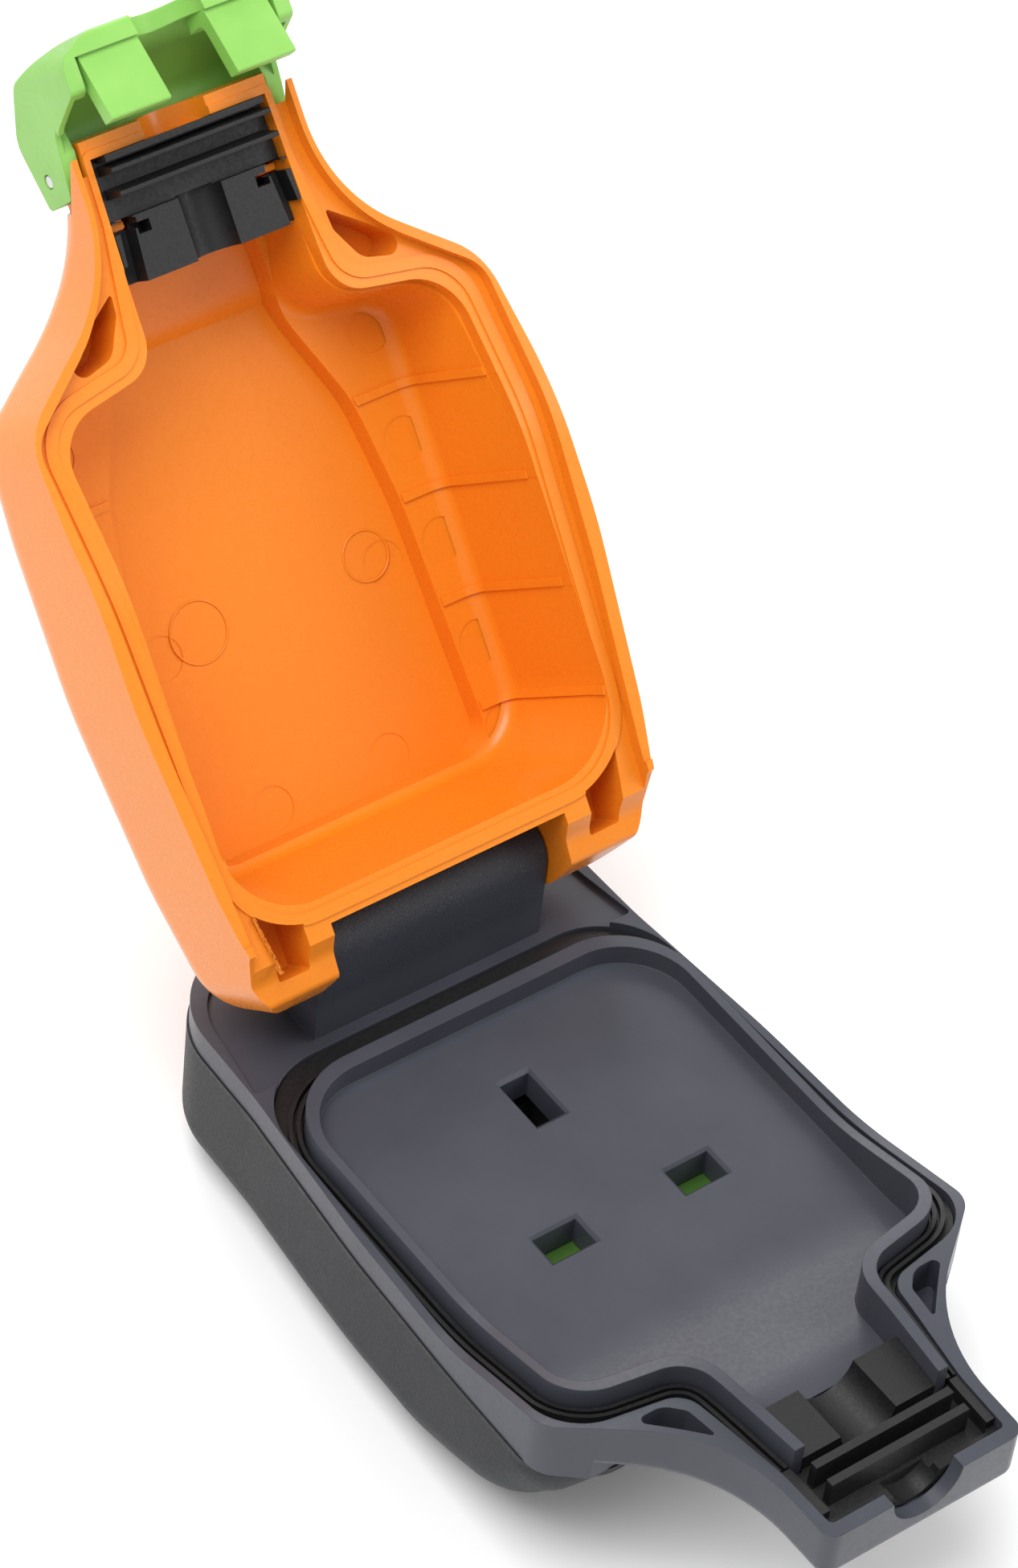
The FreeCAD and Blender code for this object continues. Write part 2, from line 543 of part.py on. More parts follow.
# Shutter and its spring, shown closed
def shutter():
    top = -PLATE_THICKNESS - SLOT_COLLAR_DEPTH - SHUTTER_GAP
    low = top - SHUTTER_THICKNESS
    plate = box(-15.6, 15.6, -4.6, 10.4, low, top)
    stem = box(-4.4, 4.4, 10.0, 17.8, low, top)
    wedge = side_prism([(11.0, low + 0.1, 0.0), (17.4, low + 0.1, 0.0), (17.4, -7.9, 0.3), (24.0, -12.9, 0.3),
                        (21.5, -13.2, 0.3), (14.5, -8.5, 0.0)], -2.2, 2.2)
    lug = box(-2.6, 2.6, -4.6, -3.0, -8.3, low + 0.1)
    windows = []
    for side in (-1, 1):
        x = side * LIVE_X
        windows.append(box(x - 3.9, x + 3.9, SHUTTER_TRAVEL - 2.8, SHUTTER_TRAVEL + 2.8, low - 1, top + 1))
    return plate.fuse([stem, wedge, lug]).cut(windows).removeSplitter()


def shutter_spring():
    wire = 0.22
    radius = 1.5
    front = -20.6 + 0.25 + wire
    rear = -4.6 - 0.25 - wire
    length = rear - front
    helix = Part.makeHelix(length / 6.0, length, radius)
    ring = Part.Wire([Part.makeCircle(wire, V(radius, 0, 0), V(0, 1, 0))])
    coil = Part.Wire(helix).makePipeShell([ring], True, True)
    coil.rotate(V(0, 0, 0), V(1, 0, 0), -90)
    coil.translate(V(0, front, -6.8))
    return coil


# Lid, drawn closed and then swung open about the hinge
def wall_top_edges(solid, lowest, widest):
    """Edges where the walls meet the top, leaving out those that run straight across."""
    edges = []
    for edge in solid.Edges:
        first, last = edge.Vertexes[0], edge.Vertexes[-1]
        middle = edge.valueAt((edge.FirstParameter + edge.LastParameter) / 2.0)
        upright = abs(first.X - last.X) < 1e-4 and abs(first.Y - last.Y) < 1e-4
        across = abs(middle.x) < widest and abs(first.Y - last.Y) < 1e-4
        if middle.z > lowest and not upright and not across:
            edges.append(edge)
    return edges


def lid_outer():
    block = prism(SKIRT_OUTLINE, -1.4, 30.0)
    top = side_prism([(80.0, -20.0, 0.0), (80.0, 25.5, 0.0), (-33.5, 25.5, 40.0), (-75.0, 10.8, 0.0),
                      (-75.0, -20.0, 0.0)], -60.0, 60.0)
    block = block.common(top)
    block = block.makeFillet(9.0, wall_top_edges(block, 10.0, 14.0))
    return block.cut(latch_clearance())


def latch_clearance():
    """Room for the latch beside the neck end; the skirt runs on below it."""
    return side_prism([(-80.0, 60.0, 0.0), (NECK_SHOULDER_Y, 60.0, 0.0), (NECK_SHOULDER_Y, 10.9, 1.0),
                       (-59.6, 5.9, 0.0), (-60.2, -20.0, 0.0), (-80.0, -20.0, 0.0)], -60.0, 60.0)


def lid_crown():
    """Raised bottle-shaped top that runs down over the neck."""
    block = prism(CROWN_OUTLINE, 14.0, 40.0)
    top = side_prism([(80.0, -20.0, 0.0), (80.0, 29.0, 0.0), (-29.0, 29.0, 14.0), (-47.0, 22.0, 40.0),
                      (-58.0, 15.5, 0.0), (-58.0, -20.0, 0.0)], -60.0, 60.0)
    block = block.common(top)
    block = block.makeFillet(3.0, wall_top_edges(block, 15.5, 8.5))
    return block.cut(box(-60, 60, -80, NECK_SHOULDER_Y, -20, 40))


def lid_rear_trim():
    """Slope and rounding that the rear of the lid is cut to."""
    return side_prism([(-80.0, -10.0, 0.0), (-80.0, 40.0, 0.0), (36.0, 40.0, 0.0), (47.5, 27.5, 0.0),
                       (57.6, 21.5, 9.0), (57.6, 12.0, 12.0), (54.2, 3.7, 1.2), (50.4, 3.2, 3.0),
                       (45.6, -0.9, 2.0), (42.0, -10.0, 0.0)], -60.0, 60.0)


def lid_neck_end():
    """Narrower end of the neck that the latch straddles."""
    return side_prism([(-50.0, 4.0, 0.0), (-50.0, 16.5, 0.0), (-58.2, 16.5, 2.4), (-61.3, 13.0, 2.0),
                       (-61.3, 4.0, 0.0)], -14.6, 14.6)


def lid_room(shrink):
    """Space inside the lid walls: upright at the rim, then leaning in to the shelf, which it meets in a curve."""
    wall = inset(LID_WALL, shrink)
    top = LID_SHELF_HEIGHT - shrink
    upper = Part.makeLoft([flat_wire(mirrored(wall), 4.0), flat_wire(mirrored(inset(wall, LID_WALL_DRAFT)), top)],
                          True, True)
    edges = [e for e in upper.Edges if all(abs(v.Z - top) < 1e-4 for v in e.Vertexes)]
    upper = upper.makeFillet(2.4, edges)
    return prism(wall, -8.0, 4.0).fuse(upper)


def lid_cavity():
    room = lid_room(0.0)
    room = room.common(side_prism([(60.0, -9.0, 0.0), (60.0, 40.0, 0.0), (-27.0, 40.0, 0.0),
                                   (-32.0, 21.0, 6.0), (-45.0, 16.8, 0.0), (-52.0, 13.5, 0.0),
                                   (-59.2, 12.2, 0.0), (-59.2, -9.0, 0.0)], -60.0, 60.0))
    panel = Part.makeLoft([flat_wire(mirrored(inset(PANEL_OUTLINE, -0.4)), 12.0),
                           flat_wire(mirrored(inset(PANEL_OUTLINE, 0.5)), 26.5)], True, True)
    panel = panel.common(side_prism([(60.0, 5.0, 0.0), (60.0, 40.0, 0.0), (-24.0, 40.0, 0.0),
                                     (-28.6, 26.3, 12.0), (-47.0, 19.4, 30.0), (-56.0, 13.4, 0.0),
                                     (-56.0, 5.0, 0.0)], -60.0, 60.0))
    return room.fuse(panel)


def lid_inner_ribs():
    """Low bands that cross the inner side wall and its shelf."""
    solids = []
    for y in LID_RIB_Y:
        outer = box(18.0, 36.0, y - 0.6, y + 0.6, 0.5, 24.5)
        solids += both_sides(outer)
    core = lid_room(0.35).fuse(prism(PANEL_OUTLINE, 0.0, 28.0))
    return [rib.cut(core) for rib in solids]


def lid_shell():
    shell = lid_outer().fuse([lid_crown(), lid_neck_end()])
    shell = shell.common(lid_rear_trim())
    shell = shell.cut(lid_cavity())
    ribs = [rib.common(lid_outer()) for rib in lid_inner_ribs()]
    shell = shell.fuse(ribs)
    skirt_room = prism(inset(BODY_OUTLINE, -SKIRT_GAP), -20.0, 20.0)
    skirt_room = skirt_room.common(below_ramp(-RIM_DROP + LAND_GAP))
    shell = shell.cut(skirt_room)
    shell = shell.cut(below_ramp(-RIM_DROP - SKIRT_OVERLAP).common(box(-50, 50, -75, 44.0, -10, 30)))
    bead = prism(inset(GROOVE_OUTER, -0.4), -10.0, 20.0).cut(prism(inset(GROOVE_OUTER, 1.3), -11.0, 21.0))
    bead = bead.common(below_ramp(-RIM_DROP + LAND_GAP + 0.2)).cut(below_ramp(-RIM_DROP + BEAD_GAP))
    bead = bead.cut(lid_cavity())
    shell = shell.fuse(bead.common(lid_rear_trim()))
    shell = shell.cut(prism(inset(LIP_OUTER, -0.3), -10.0, 12.0).common(below_ramp(0.35)))
    shell = shell.fuse(both_sides(box(10.7, 13.4, -49.5, -48.6, 10.5, 15.2)))
    notch = side_prism([(46.3, -5.0, 0.0), (46.3, 18.6, 0.6), (49.0, 18.6, 0.0), (49.0, 40.0, 0.0),
                        (70.0, 40.0, 0.0), (70.0, -5.0, 0.0)], -19.42, 19.42)
    shell = shell.cut(notch)
    shell = shell.cut(Part.makeCylinder(BARREL_RADIUS + 0.45, 38.84, V(-19.42, HINGE_Y, HINGE_Z), V(1, 0, 0)))
    shell = shell.cut(knuckle_pockets())
    shell = shell.cut(lid_shoulder_pockets())
    bore = round_bar(HINGE_PIN_RADIUS + RUNNING_CLEARANCE, -29.5, 29.5, HINGE_Y, HINGE_Z)
    latch_bore = round_bar(LATCH_PIN_RADIUS, -20, 20, LATCH_Y, LATCH_Z)
    end_slot = Part.makeCylinder(5.1, 4.0, V(0, -62.5, 7.0), V(0, 1, 0))
    marks = lid_marks()
    shell = shell.cut([bore, latch_bore, end_slot] + marks)
    return shell.removeSplitter()


def knuckle_pockets():
    """Open pockets under the hinge knuckles, bounded by the curved lip of the chamber."""
    wire = flat_wire([(23.4, 40.0, 0.0), (30.2, 40.0, 0.0), (28.3, 51.3, 0.4), (23.4, 51.4, 0.4)], -3.0)
    pocket = Part.Face(wire).extrude(V(0, 0, 12.6))
    pocket = pocket.cut(post(14.6, 19.7, 30.6, -4.0, 11.0))
    return Part.makeCompound(both_sides(pocket))

def lid_shoulder_pockets():
    """Gap between the inner lip wall and the skirt at each shoulder."""
    pocket = [(29.5, -31.2, 1.6), (20.0, -33.6, 3.0), (17.3, -38.5, 1.5), (17.0, -41.6, 0.3),
              (24.5, -36.2, 8.0)]
    wire = flat_wire(pocket, 2.0)
    solid = Part.Face(wire).extrude(V(0, 0, 12.5))
    return Part.makeCompound(both_sides(solid))


def lid_marks():
    """Faint round dents left by the ejector pins."""
    dents = []
    for x, y in LID_MARKS:
        dents += both_sides(post(3.2, x, y, LID_SHELF_HEIGHT - 0.1, LID_SHELF_HEIGHT + 0.12))
    for x, y in PANEL_MARKS:
        dents.append(post(3.2, x, y, 26.4, 26.62))
    return dents


def lid_neck_seal():
    """Rubber moulding in the lid neck: pressing ribs, and a saddle with a cord channel and lip slots."""
    wall = inset(LID_WALL, FIT_GAP)
    form = Part.makeLoft([flat_wire(mirrored(wall), 4.0),
                          flat_wire(mirrored(inset(wall, LID_WALL_DRAFT)), LID_SHELF_HEIGHT)], True, True)
    block = side_prism([(-41.3, 7.5, 0.0), (-50.0, 7.5, 0.0), (-50.0, 9.2, 0.0), (-59.0, 9.2, 0.0),
                        (-59.0, 11.9, 0.0), (-41.3, 11.9, 0.0)], -16, 16)
    block = block.fuse(box(-12.4, 12.4, -60.0, -57.9, 5.9, 9.5))
    ribs = []
    for y, low in ((-53.5, 4.8), (-56.7, 5.0)):
        ribs.append(side_prism([(y + 0.7, 9.5, 0.0), (y + 0.35, low, 0.2), (y - 0.35, low, 0.2),
                                (y - 0.7, 9.5, 0.0)], -12.5, 12.5))
    seal = form.common(block).fuse(ribs)
    slot = Part.Face(flat_wire([(11.35, -41.0, 0.0), (10.55, -50.0, 0.0), (12.95, -50.0, 0.0),
                                (13.5, -44.0, 0.0), (16.0, -44.0, 0.0), (16.0, -41.0, 0.0)], 3.0))
    cuts = both_sides(slot.extrude(V(0, 0, 7.6)))
    cuts.append(Part.makeCylinder(3.4, 9.6, V(0, -50.2, 7.5), V(0, 1, 0)))
    cuts += both_sides(box(10.2, 15.0, -49.8, -48.3, 3.0, 13.0))
    cuts += both_sides(box(8.4, 10.4, -49.0, -47.4, 3.0, 10.6))
    return seal.cut(cuts).removeSplitter()

def latch_pin():
    pin = round_bar(LATCH_PIN_RADIUS, -17.2, 17.2, LATCH_Y, LATCH_Z)
    return pin.makeChamfer(0.2, [e for e in pin.Edges if len(e.Vertexes) == 1])


# Latch, drawn in the swing that the photo shows
def latch():
    outer = side_prism([(-53.3, 16.3, 1.0), (-62.9, 19.6, 4.0), (-70.6, 15.0, 4.0), (-74.2, 6.0, 12.0),
                        (-75.2, 0.6, 0.8), (-72.2, -0.4, 0.5), (-68.0, -0.6, 1.0), (-64.1, 5.9, 1.0),
                        (-62.3, 7.9, 1.0), (-54.4, 9.5, 0.8)], -17.3, 17.3)
    plan = [(17.3, -40.0, 0.0), (17.3, -72.4, 3.0), (12.0, -75.2, 8.0)]
    outer = outer.common(prism(plan, -10.0, 30.0))
    hollow = side_prism([(-40.0, 30.0, 0.0), (-58.4, 30.0, 0.0), (-58.4, 16.7, 0.0), (-63.0, 17.2, 3.0),
                         (-68.6, 13.0, 4.0), (-72.0, 5.0, 10.0), (-72.9, -6.0, 0.0), (-40.0, -6.0, 0.0)],
                        -15.0, 15.0)
    body = outer.fuse(latch_ridges()).cut(hollow)
    hooks = []
    for side in (-1, 1):
        x0, x1 = sorted((side * 5.2, side * 14.3))
        leg = side_prism([(-71.8, 6.0, 0.0), (-73.6, 1.2, 1.0), (-73.2, 0.7, 0.3), (-63.6, -3.7, 0.4),
                          (-63.0, -1.2, 0.3), (-70.4, 2.0, 1.5), (-69.4, 6.0, 0.0)], x0, x1)
        hooks.append(leg)
    body = body.fuse(hooks)
    body = body.cut(Part.makeCylinder(5.2, 6.0, V(0, -76.0, 0.6), V(0, 1, 0)))
    body = body.cut(latch_neighbours())
    bore = round_bar(LATCH_PIN_RADIUS + RUNNING_CLEARANCE, -20, 20, LATCH_Y, LATCH_Z)
    return body.cut(bore).removeSplitter()


def latch_neighbours():
    """Room that the base neck and the lid skirt need beside the shut latch, turned to the shown swing."""
    neck = box(-16.45, 16.45, -61.95, -45.0, -2.15, 7.55)
    skirt = side_prism([(-45.0, 11.2, 0.0), (-52.0, 11.2, 0.0), (-59.9, 6.3, 0.0), (-60.5, 5.3, 0.0),
                        (-45.0, 5.3, 0.0)], -18.0, 18.0)
    for piece in (neck, skirt):
        piece.rotate(V(0, LATCH_Y, LATCH_Z), V(1, 0, 0), -LATCH_SHUT_ANGLE)
    return [neck, skirt]

def latch_ridges():
    """Fine grip ridges across the outside of the latch."""
    path = [(-56.4, 17.1), (-58.6, 17.9), (-60.8, 18.6), (-63.1, 19.1), (-65.4, 18.3), (-67.6, 17.0),
            (-69.6, 15.7), (-71.0, 13.8)]
    return [round_bar(0.55, -16.6, 16.6, y + 0.15, z - 0.35) for y, z in path]


# Placing and writing
def swing_lid(shape):
    moved = shape.copy()
    moved.rotate(V(0, HINGE_Y, HINGE_Z), V(-1, 0, 0), LID_OPEN_ANGLE)
    return moved


def write(name, shape):
    shape.exportStep("parts/" + name + ".step")
    print(name, len(shape.Solids), "solids, valid:", shape.isValid())


BASE_PIECES = [("upper_body", upper_body), ("lower_cover", lower_cover), ("body_gasket", body_gasket),
               ("face_seal", face_seal), ("cover_screws", cover_screws), ("hinge_pin", hinge_pin),
               ("contact_carrier", contact_carrier), ("carrier_screws", carrier_screws),
               ("live_contact", live_contact), ("neutral_contact", neutral_contact),
               ("earth_contact", earth_contact), ("terminal_screws", terminal_screws),
               ("cord_clamp_bar", cord_clamp_bar), ("cord_clamp_screws", cord_clamp_screws),
               ("cord_grommet", cord_grommet), ("shutter", shutter), ("shutter_spring", shutter_spring)]
LID_PIECES = [("lid_shell", lid_shell), ("lid_neck_seal", lid_neck_seal), ("latch_pin", latch_pin),
              ("latch", latch)]

for node, make in BASE_PIECES:
    write(node, make())
for node, make in LID_PIECES:
    write(node, swing_lid(make()))
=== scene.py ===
import bpy
import json
import math
from mathutils import Matrix, Vector

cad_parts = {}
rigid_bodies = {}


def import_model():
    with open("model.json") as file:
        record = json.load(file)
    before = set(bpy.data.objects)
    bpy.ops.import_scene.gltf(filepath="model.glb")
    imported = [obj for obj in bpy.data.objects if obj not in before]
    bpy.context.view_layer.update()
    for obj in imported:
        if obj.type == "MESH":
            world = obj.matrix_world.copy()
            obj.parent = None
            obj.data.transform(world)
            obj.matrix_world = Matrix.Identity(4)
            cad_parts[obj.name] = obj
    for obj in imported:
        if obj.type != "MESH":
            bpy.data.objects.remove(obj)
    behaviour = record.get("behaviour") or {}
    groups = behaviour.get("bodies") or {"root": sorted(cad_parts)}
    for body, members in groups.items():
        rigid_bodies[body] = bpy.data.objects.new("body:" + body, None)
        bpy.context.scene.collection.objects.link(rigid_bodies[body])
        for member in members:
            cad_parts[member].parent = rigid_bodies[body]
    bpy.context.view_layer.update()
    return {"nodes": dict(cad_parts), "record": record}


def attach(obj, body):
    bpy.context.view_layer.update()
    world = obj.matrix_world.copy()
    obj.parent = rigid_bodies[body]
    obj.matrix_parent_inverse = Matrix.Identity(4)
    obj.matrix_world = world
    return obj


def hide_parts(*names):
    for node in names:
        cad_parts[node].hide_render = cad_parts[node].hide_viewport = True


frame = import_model()
nodes = frame["nodes"]
MM = 0.001

# Places on the object, in metres
HINGE = Vector((0.0, 0.0513, 0.0134))
LID_OPEN = math.radians(129.1)
FLOOR_HEIGHT = -0.027


# Camera
def add_camera():
    """Camera at the photograph's viewing angle; the long side of the picture is 36 mm on its sensor."""
    camera = bpy.data.cameras.new("view_camera")
    camera.sensor_fit = "VERTICAL"
    camera.sensor_height = 36.0
    camera.lens = 6700.45 / 1951.0 * 36.0
    camera.clip_start = 0.05
    camera.clip_end = 20.0
    right = Vector((0.804104, -0.588534, 0.083935))
    up = Vector((0.374597, 0.611236, 0.697185))
    back = Vector((-0.461621, -0.529168, 0.711960))
    place = Matrix((right, up, back)).transposed().to_4x4()
    place.translation = Vector((-0.323767, -0.336325, 0.549315))
    holder = bpy.data.objects.new("view_camera", camera)
    bpy.context.scene.collection.objects.link(holder)
    holder.matrix_world = place
    bpy.context.scene.camera = holder


# Light and floor
def add_soft_light(name, place, target, width, power):
    lamp = bpy.data.lights.new(name, "AREA")
    lamp.shape = "SQUARE"
    lamp.size = width
    lamp.energy = power
    holder = bpy.data.objects.new(name, lamp)
    bpy.context.scene.collection.objects.link(holder)
    aim = (Vector(target) - Vector(place)).normalized()
    holder.rotation_euler = aim.to_track_quat("-Z", "Y").to_euler()
    holder.location = place


def add_studio():
    world = bpy.data.worlds.new("pale_room")
    bpy.context.scene.world = world
    world.use_nodes = True
    sky = world.node_tree.nodes["Background"]
    sky.inputs["Color"].default_value = (1.0, 1.0, 1.0, 1.0)
    sky.inputs["Strength"].default_value = 0.55
    middle = (0.0, 0.03, 0.02)
    add_soft_light("key_light", (-0.38, -0.02, 1.0), middle, 0.7, 9.8)
    add_soft_light("side_light", (0.75, -0.35, 0.55), middle, 0.6, 4.2)
    add_soft_light("back_light", (0.35, 0.9, 0.6), middle, 0.6, 4.0)
    bpy.context.scene.view_settings.view_transform = "Standard"


def add_floor():
    deselect_all()
    bpy.ops.mesh.primitive_plane_add(size=6.0, location=(0.0, 0.0, FLOOR_HEIGHT - 0.0002))
    floor = bpy.context.object
    floor.name = "floor"
    floor.data.materials.append(floor_finish())


def deselect_all():
    for thing in bpy.context.view_layer.objects:
        thing.select_set(False)
    bpy.context.view_layer.objects.active = None


# Building blocks of the finishes
def start_finish(name):
    finish = bpy.data.materials.new(name)
    finish.use_nodes = True
    tree = finish.node_tree
    shader = tree.nodes["Principled BSDF"]
    coords = tree.nodes.new("ShaderNodeTexCoord")
    return finish, tree, shader, coords.outputs["Object"]


def stretched(tree, coords, scale, turn=(0.0, 0.0, 0.0)):
    mapping = tree.nodes.new("ShaderNodeMapping")
    mapping.inputs["Scale"].default_value = scale
    mapping.inputs["Rotation"].default_value = turn
    tree.links.new(coords, mapping.inputs["Vector"])
    return mapping.outputs["Vector"]


def noise(tree, coords, scale, detail=3.0, roughness=0.55):
    texture = tree.nodes.new("ShaderNodeTexNoise")
    texture.inputs["Scale"].default_value = scale
    texture.inputs["Detail"].default_value = detail
    texture.inputs["Roughness"].default_value = roughness
    tree.links.new(coords, texture.inputs["Vector"])
    return texture.outputs["Fac"]


def ranged(tree, value, low, high, out_low, out_high):
    node = tree.nodes.new("ShaderNodeMapRange")
    node.inputs["From Min"].default_value = low
    node.inputs["From Max"].default_value = high
    node.inputs["To Min"].default_value = out_low
    node.inputs["To Max"].default_value = out_high
    tree.links.new(value, node.inputs["Value"])
    return node.outputs["Result"]


def combined(tree, operation, first, second):
    node = tree.nodes.new("ShaderNodeMath")
    node.operation = operation
    for socket, value in zip(node.inputs, (first, second)):
        if isinstance(value, (int, float)):
            socket.default_value = value
        else:
            tree.links.new(value, socket)
    return node.outputs["Value"]


def between_colours(tree, factor, first, second):
    node = tree.nodes.new("ShaderNodeMix")
    node.data_type = "RGBA"
    for key, colour in (("A", first), ("B", second)):
        socket = [s for s in node.inputs if s.name == key and s.type == "RGBA"][0]
        if hasattr(colour, "links"):
            tree.links.new(colour, socket)
        else:
            socket.default_value = (*colour, 1.0)
    tree.links.new(factor, node.inputs["Factor"])
    return [s for s in node.outputs if s.type == "RGBA"][0]


def softened(tree, radius):
    """Surface direction with the sharp edges eased, as moulded edges are."""
    node = tree.nodes.new("ShaderNodeBevel")
    node.samples = 4
    node.inputs["Radius"].default_value = radius
    return node.outputs["Normal"]


def bumped(tree, height, distance, strength, below=None):
    node = tree.nodes.new("ShaderNodeBump")
    node.inputs["Distance"].default_value = distance
    node.inputs["Strength"].default_value = strength
    tree.links.new(height, node.inputs["Height"])
    if below is not None:
        tree.links.new(below, node.inputs["Normal"])
    return node.outputs["Normal"]


# Finishes
def floor_finish():
    finish, tree, shader, coords = start_finish("pale_floor")
    cloud = noise(tree, coords, 3.0, 2.0)
    tone = between_colours(tree, cloud, (0.90, 0.90, 0.90), (0.93, 0.93, 0.93))
    tree.links.new(tone, shader.inputs["Base Color"])
    shader.inputs["Roughness"].default_value = 0.8
    return finish


def orange_plastic():
    """Moulded orange plastic: slightly translucent, mottled, with faint wipe marks."""
    finish, tree, shader, coords = start_finish("orange_plastic")
    flow = noise(tree, coords, 45.0, 3.0)
    mottle = noise(tree, coords, 950.0, 3.0, 0.55)
    wipe = noise(tree, stretched(tree, coords, (900.0, 60.0, 60.0)), 1.0, 3.0)
    mixed = combined(tree, "ADD", combined(tree, "MULTIPLY", flow, 0.5), combined(tree, "MULTIPLY", mottle, 0.5))
    spread = ranged(tree, mixed, 0.35, 0.65, 0.0, 1.0)
    tone = between_colours(tree, spread, (0.780, 0.221, 0.011), (0.800, 0.230, 0.012))
    tree.links.new(tone, shader.inputs["Base Color"])
    tree.links.new(ranged(tree, mottle, 0.3, 0.7, 0.25, 0.31), shader.inputs["Roughness"])
    shader.inputs["Specular IOR Level"].default_value = 0.38
    shader.inputs["Subsurface Weight"].default_value = 0.12
    shader.inputs["Subsurface Radius"].default_value = (1.0, 0.30, 0.05)
    shader.inputs["Subsurface Scale"].default_value = 0.0015
    skin = bumped(tree, mottle, 0.00002, 0.10)
    tree.links.new(bumped(tree, wipe, 0.00002, 0.35, skin), shader.inputs["Normal"])
    return finish


def green_plastic(name, deep, pale):
    """Soft-looking green plastic of the latch; the shutter gets a much darker green, painted shade standing in for
    the shade of the shutter set deep in its slot.
    """
    finish, tree, shader, coords = start_finish(name)
    flow = noise(tree, coords, 90.0, 3.0)
    grain = noise(tree, coords, 1400.0, 3.0, 0.6)
    tone = between_colours(tree, ranged(tree, flow, 0.35, 0.65, 0.0, 1.0), deep, pale)
    tree.links.new(tone, shader.inputs["Base Color"])
    tree.links.new(ranged(tree, grain, 0.3, 0.7, 0.34, 0.50), shader.inputs["Roughness"])
    shader.inputs["Subsurface Weight"].default_value = 0.18
    shader.inputs["Subsurface Radius"].default_value = (0.5, 1.0, 0.25)
    shader.inputs["Subsurface Scale"].default_value = 0.0015
    tree.links.new(bumped(tree, grain, 0.00004, 0.4, softened(tree, 0.0003)), shader.inputs["Normal"])
    return finish


def grey_plastic():
    """Blue-grey moulded plastic; the barrel of the hinge has a coarse sparkling grain."""
    finish, tree, shader, coords = start_finish("grey_plastic")
    flow = noise(tree, coords, 60.0, 3.0)
    grain = noise(tree, coords, 1600.0, 3.0, 0.6)
    coarse = noise(tree, coords, 3600.0, 2.0, 0.7)
    split = tree.nodes.new("ShaderNodeSeparateXYZ")
    tree.links.new(coords, split.inputs["Vector"])
    rear = ranged(tree, split.outputs["Y"], 0.0464, 0.0469, 0.0, 1.0)
    high = ranged(tree, split.outputs["Z"], 0.0050, 0.0075, 0.0, 1.0)
    barrel = combined(tree, "MULTIPLY", rear, high)
    tone = between_colours(tree, ranged(tree, flow, 0.35, 0.65, 0.0, 1.0),
                           (0.048, 0.051, 0.065), (0.056, 0.059, 0.075))
    speck = ranged(tree, coarse, 0.56, 0.70, 0.0, 0.6)
    dark = between_colours(tree, speck, (0.030, 0.032, 0.040), (0.090, 0.094, 0.106))
    tree.links.new(between_colours(tree, barrel, tone, dark), shader.inputs["Base Color"])
    shader.inputs["Specular IOR Level"].default_value = 0.36
    satin = ranged(tree, grain, 0.3, 0.7, 0.28, 0.40)
    rough = combined(tree, "ADD", satin, combined(tree, "MULTIPLY", barrel, 0.16))
    tree.links.new(rough, shader.inputs["Roughness"])
    fine = bumped(tree, grain, 0.00003, 0.35, softened(tree, 0.0002))
    height = combined(tree, "MULTIPLY", coarse, barrel)
    tree.links.new(bumped(tree, height, 0.00018, 0.7, fine), shader.inputs["Normal"])
    return finish


def cover_plastic():
    """Darker, finely grained plastic of the lower cover."""
    finish, tree, shader, coords = start_finish("cover_plastic")
    flow = noise(tree, coords, 50.0, 3.0)
    grain = noise(tree, coords, 2200.0, 3.0, 0.6)
    tone = between_colours(tree, ranged(tree, flow, 0.35, 0.65, 0.0, 1.0),
                           (0.030, 0.0315, 0.0350), (0.036, 0.0375, 0.041))
    tree.links.new(tone, shader.inputs["Base Color"])
    shader.inputs["Specular IOR Level"].default_value = 0.15
    tree.links.new(ranged(tree, grain, 0.3, 0.7, 0.42, 0.58), shader.inputs["Roughness"])
    tree.links.new(bumped(tree, grain, 0.00006, 0.5), shader.inputs["Normal"])
    return finish


def seal_rubber():
    """Black moulded rubber with dust in its grain."""
    finish, tree, shader, coords = start_finish("seal_rubber")
    grain = noise(tree, coords, 1800.0, 4.0, 0.6)
    dust = noise(tree, coords, 5200.0, 2.0, 0.8)
    speck = ranged(tree, dust, 0.68, 0.78, 0.0, 1.0)
    tone = between_colours(tree, speck, (0.0050, 0.0050, 0.0058), (0.045, 0.045, 0.047))
    tree.links.new(tone, shader.inputs["Base Color"])
    tree.links.new(ranged(tree, grain, 0.3, 0.7, 0.42, 0.62), shader.inputs["Roughness"])
    tree.links.new(bumped(tree, grain, 0.00006, 0.5), shader.inputs["Normal"])
    return finish


def carrier_plastic():
    finish, tree, shader, coords = start_finish("carrier_plastic")
    grain = noise(tree, coords, 1500.0, 3.0, 0.6)
    tone = between_colours(tree, grain, (0.010, 0.010, 0.011), (0.020, 0.020, 0.022))
    tree.links.new(tone, shader.inputs["Base Color"])
    tree.links.new(ranged(tree, grain, 0.3, 0.7, 0.45, 0.60), shader.inputs["Roughness"])
    tree.links.new(bumped(tree, grain, 0.00005, 0.4), shader.inputs["Normal"])
    return finish


def metal(name, first, second, low, high, scale):
    """Bare metal with drawn lines across it."""
    finish, tree, shader, coords = start_finish(name)
    lines = noise(tree, stretched(tree, coords, scale), 1.0, 3.0)
    cloud = noise(tree, coords, 300.0, 2.0)
    tree.links.new(between_colours(tree, cloud, first, second), shader.inputs["Base Color"])
    tree.links.new(ranged(tree, lines, 0.3, 0.7, low, high), shader.inputs["Roughness"])
    shader.inputs["Metallic"].default_value = 1.0
    tree.links.new(bumped(tree, lines, 0.00003, 0.35), shader.inputs["Normal"])
    return finish


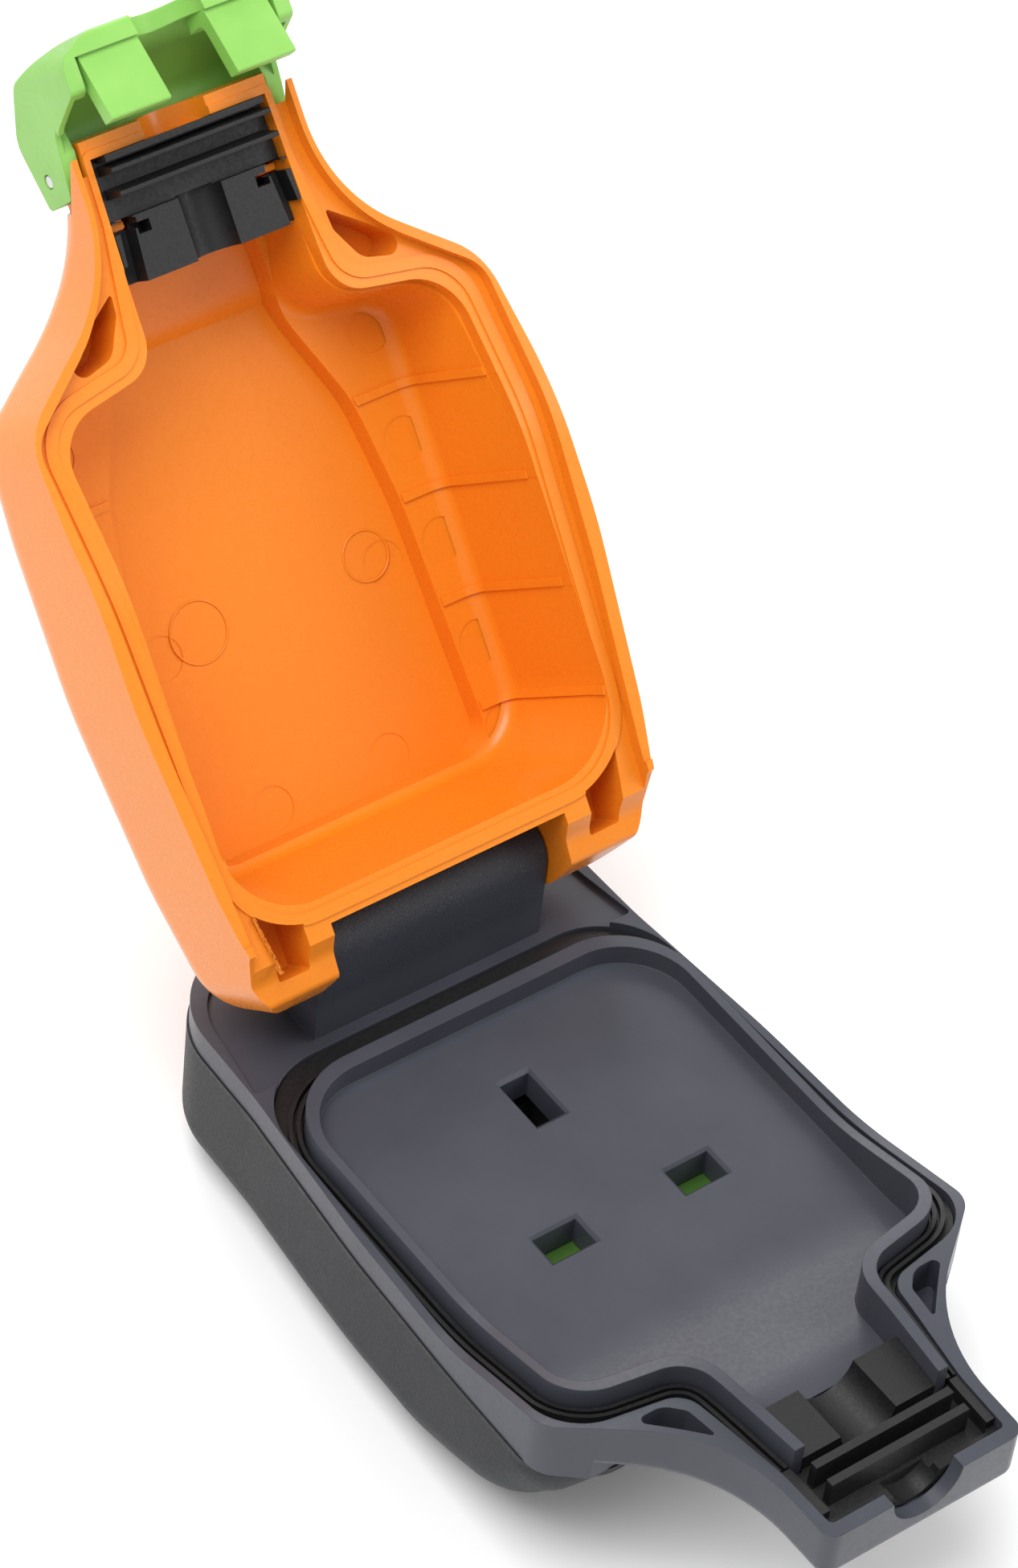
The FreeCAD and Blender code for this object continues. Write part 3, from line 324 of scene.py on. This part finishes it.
# Dressing the frame's own pieces
def smooth_copy(node, body, finish, angle=32.0):
    """Joined-up, smoothly shaded skin in place of a node, with the node's own shape."""
    source = nodes[node]
    mesh = source.data.copy()
    mesh.name = node + "_skin"
    skin = bpy.data.objects.new(node + "_skin", mesh)
    bpy.context.scene.collection.objects.link(skin)
    deselect_all()
    skin.select_set(True)
    bpy.context.view_layer.objects.active = skin
    if mesh.has_custom_normals:
        bpy.ops.mesh.customdata_custom_splitnormals_clear()
    bpy.ops.object.mode_set(mode="EDIT")
    bpy.ops.mesh.select_all(action="SELECT")
    bpy.ops.mesh.remove_doubles(threshold=0.000002)
    bpy.ops.object.mode_set(mode="OBJECT")
    bpy.ops.object.shade_smooth_by_angle(angle=math.radians(angle))
    skin.data.materials.clear()
    skin.data.materials.append(finish)
    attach(skin, body)
    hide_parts(node)
    return skin


def opened(piece):
    """Turn a piece drawn on the shut lid to the open place of the lid."""
    swing = Matrix.Translation(HINGE) @ Matrix.Rotation(LID_OPEN, 4, (-1.0, 0.0, 0.0)) @ Matrix.Translation(-HINGE)
    piece.data.transform(swing)


def finished(piece, name, body, finish):
    """Name a new piece, give it its finish and let it ride its body."""
    piece.name = name
    bpy.ops.object.transform_apply(location=True, rotation=True, scale=True)
    piece.data.materials.clear()
    piece.data.materials.append(finish)
    if body == "lid":
        opened(piece)
    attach(piece, body)


def lid_ring(name, centre, radius, finish):
    """Low plain moulded ring on the inner face of the lid panel."""
    deselect_all()
    bpy.ops.mesh.primitive_torus_add(major_radius=radius * MM, minor_radius=0.16 * MM, major_segments=64,
                                     minor_segments=10, location=[value * MM for value in centre])
    ring = bpy.context.object
    bpy.ops.object.mode_set(mode="EDIT")
    bpy.ops.mesh.select_all(action="SELECT")
    bpy.ops.transform.resize(value=(1.0, 1.0, 0.8), center_override=[value * MM for value in centre])
    bpy.ops.object.mode_set(mode="OBJECT")
    bpy.ops.object.shade_smooth()
    finished(ring, name, "lid", finish)


def pocket_flash(finish):
    """Ragged strip of moulding flash along the outer edge of the left knuckle pocket."""
    deselect_all()
    bpy.ops.mesh.primitive_cube_add(size=1.0, location=(-29.45 * MM, 45.4 * MM, 1.0 * MM),
                                    rotation=(0.0, 0.0, math.radians(-9.55)),
                                    scale=(0.42 * MM, 8.6 * MM, 0.5 * MM))
    strip = bpy.context.object
    bpy.ops.object.transform_apply(location=True, rotation=True, scale=True)
    bpy.ops.object.mode_set(mode="EDIT")
    bpy.ops.mesh.select_all(action="SELECT")
    bpy.ops.mesh.subdivide(number_cuts=22)
    bpy.ops.transform.vertex_random(offset=0.00013, seed=7)
    bpy.ops.mesh.normals_make_consistent(inside=False)
    bpy.ops.object.mode_set(mode="OBJECT")
    bpy.ops.object.shade_smooth_by_angle(angle=math.radians(40.0))
    finished(strip, "pocket_flash", "lid", finish)


def dress(node, finish):
    source = nodes[node]
    source.data.materials.clear()
    source.data.materials.append(finish)


def main():
    add_camera()
    add_studio()
    add_floor()
    finishes = {
        "orange_plastic": orange_plastic(),
        "green_plastic": green_plastic("green_plastic", (0.225, 0.500, 0.090), (0.260, 0.550, 0.110)),
        "grey_plastic": grey_plastic(),
        "cover_plastic": cover_plastic(),
        "seal_rubber": seal_rubber(),
        "carrier_plastic": carrier_plastic(),
        "brass": metal("brass", (0.78, 0.56, 0.22), (0.84, 0.64, 0.30), 0.20, 0.38, (3000.0, 200.0, 200.0)),
        "steel": metal("steel", (0.52, 0.52, 0.53), (0.62, 0.62, 0.63), 0.22, 0.40, (300.0, 3000.0, 3000.0)),
    }
    slots = {piece["node"]: piece["material_slot"] for piece in frame["record"]["subparts"]}
    for node, slot in slots.items():
        dress(node, finishes[slot])
    # The shutter's green is made far darker than the latch's: painted shade for the shutter sitting deep in its
    # slot.
    dress("shutter", green_plastic("shutter_green_painted_shade", (0.035, 0.100, 0.012), (0.045, 0.120, 0.016)))
    skins = {"upper_body": "base", "lower_cover": "base", "body_gasket": "base", "face_seal": "base",
             "lid_shell": "lid", "lid_neck_seal": "lid", "latch": "latch", "cord_grommet": "base"}
    for node, body in skins.items():
        smooth_copy(node, body, finishes[slots[node]])
    lid_ring("lid_mark_left", (-11.9, 8.1, 26.44), 4.4, finishes["orange_plastic"])
    lid_ring("lid_mark_right", (16.1, 7.6, 26.44), 3.6, finishes["orange_plastic"])
    pocket_flash(finishes["orange_plastic"])


main()
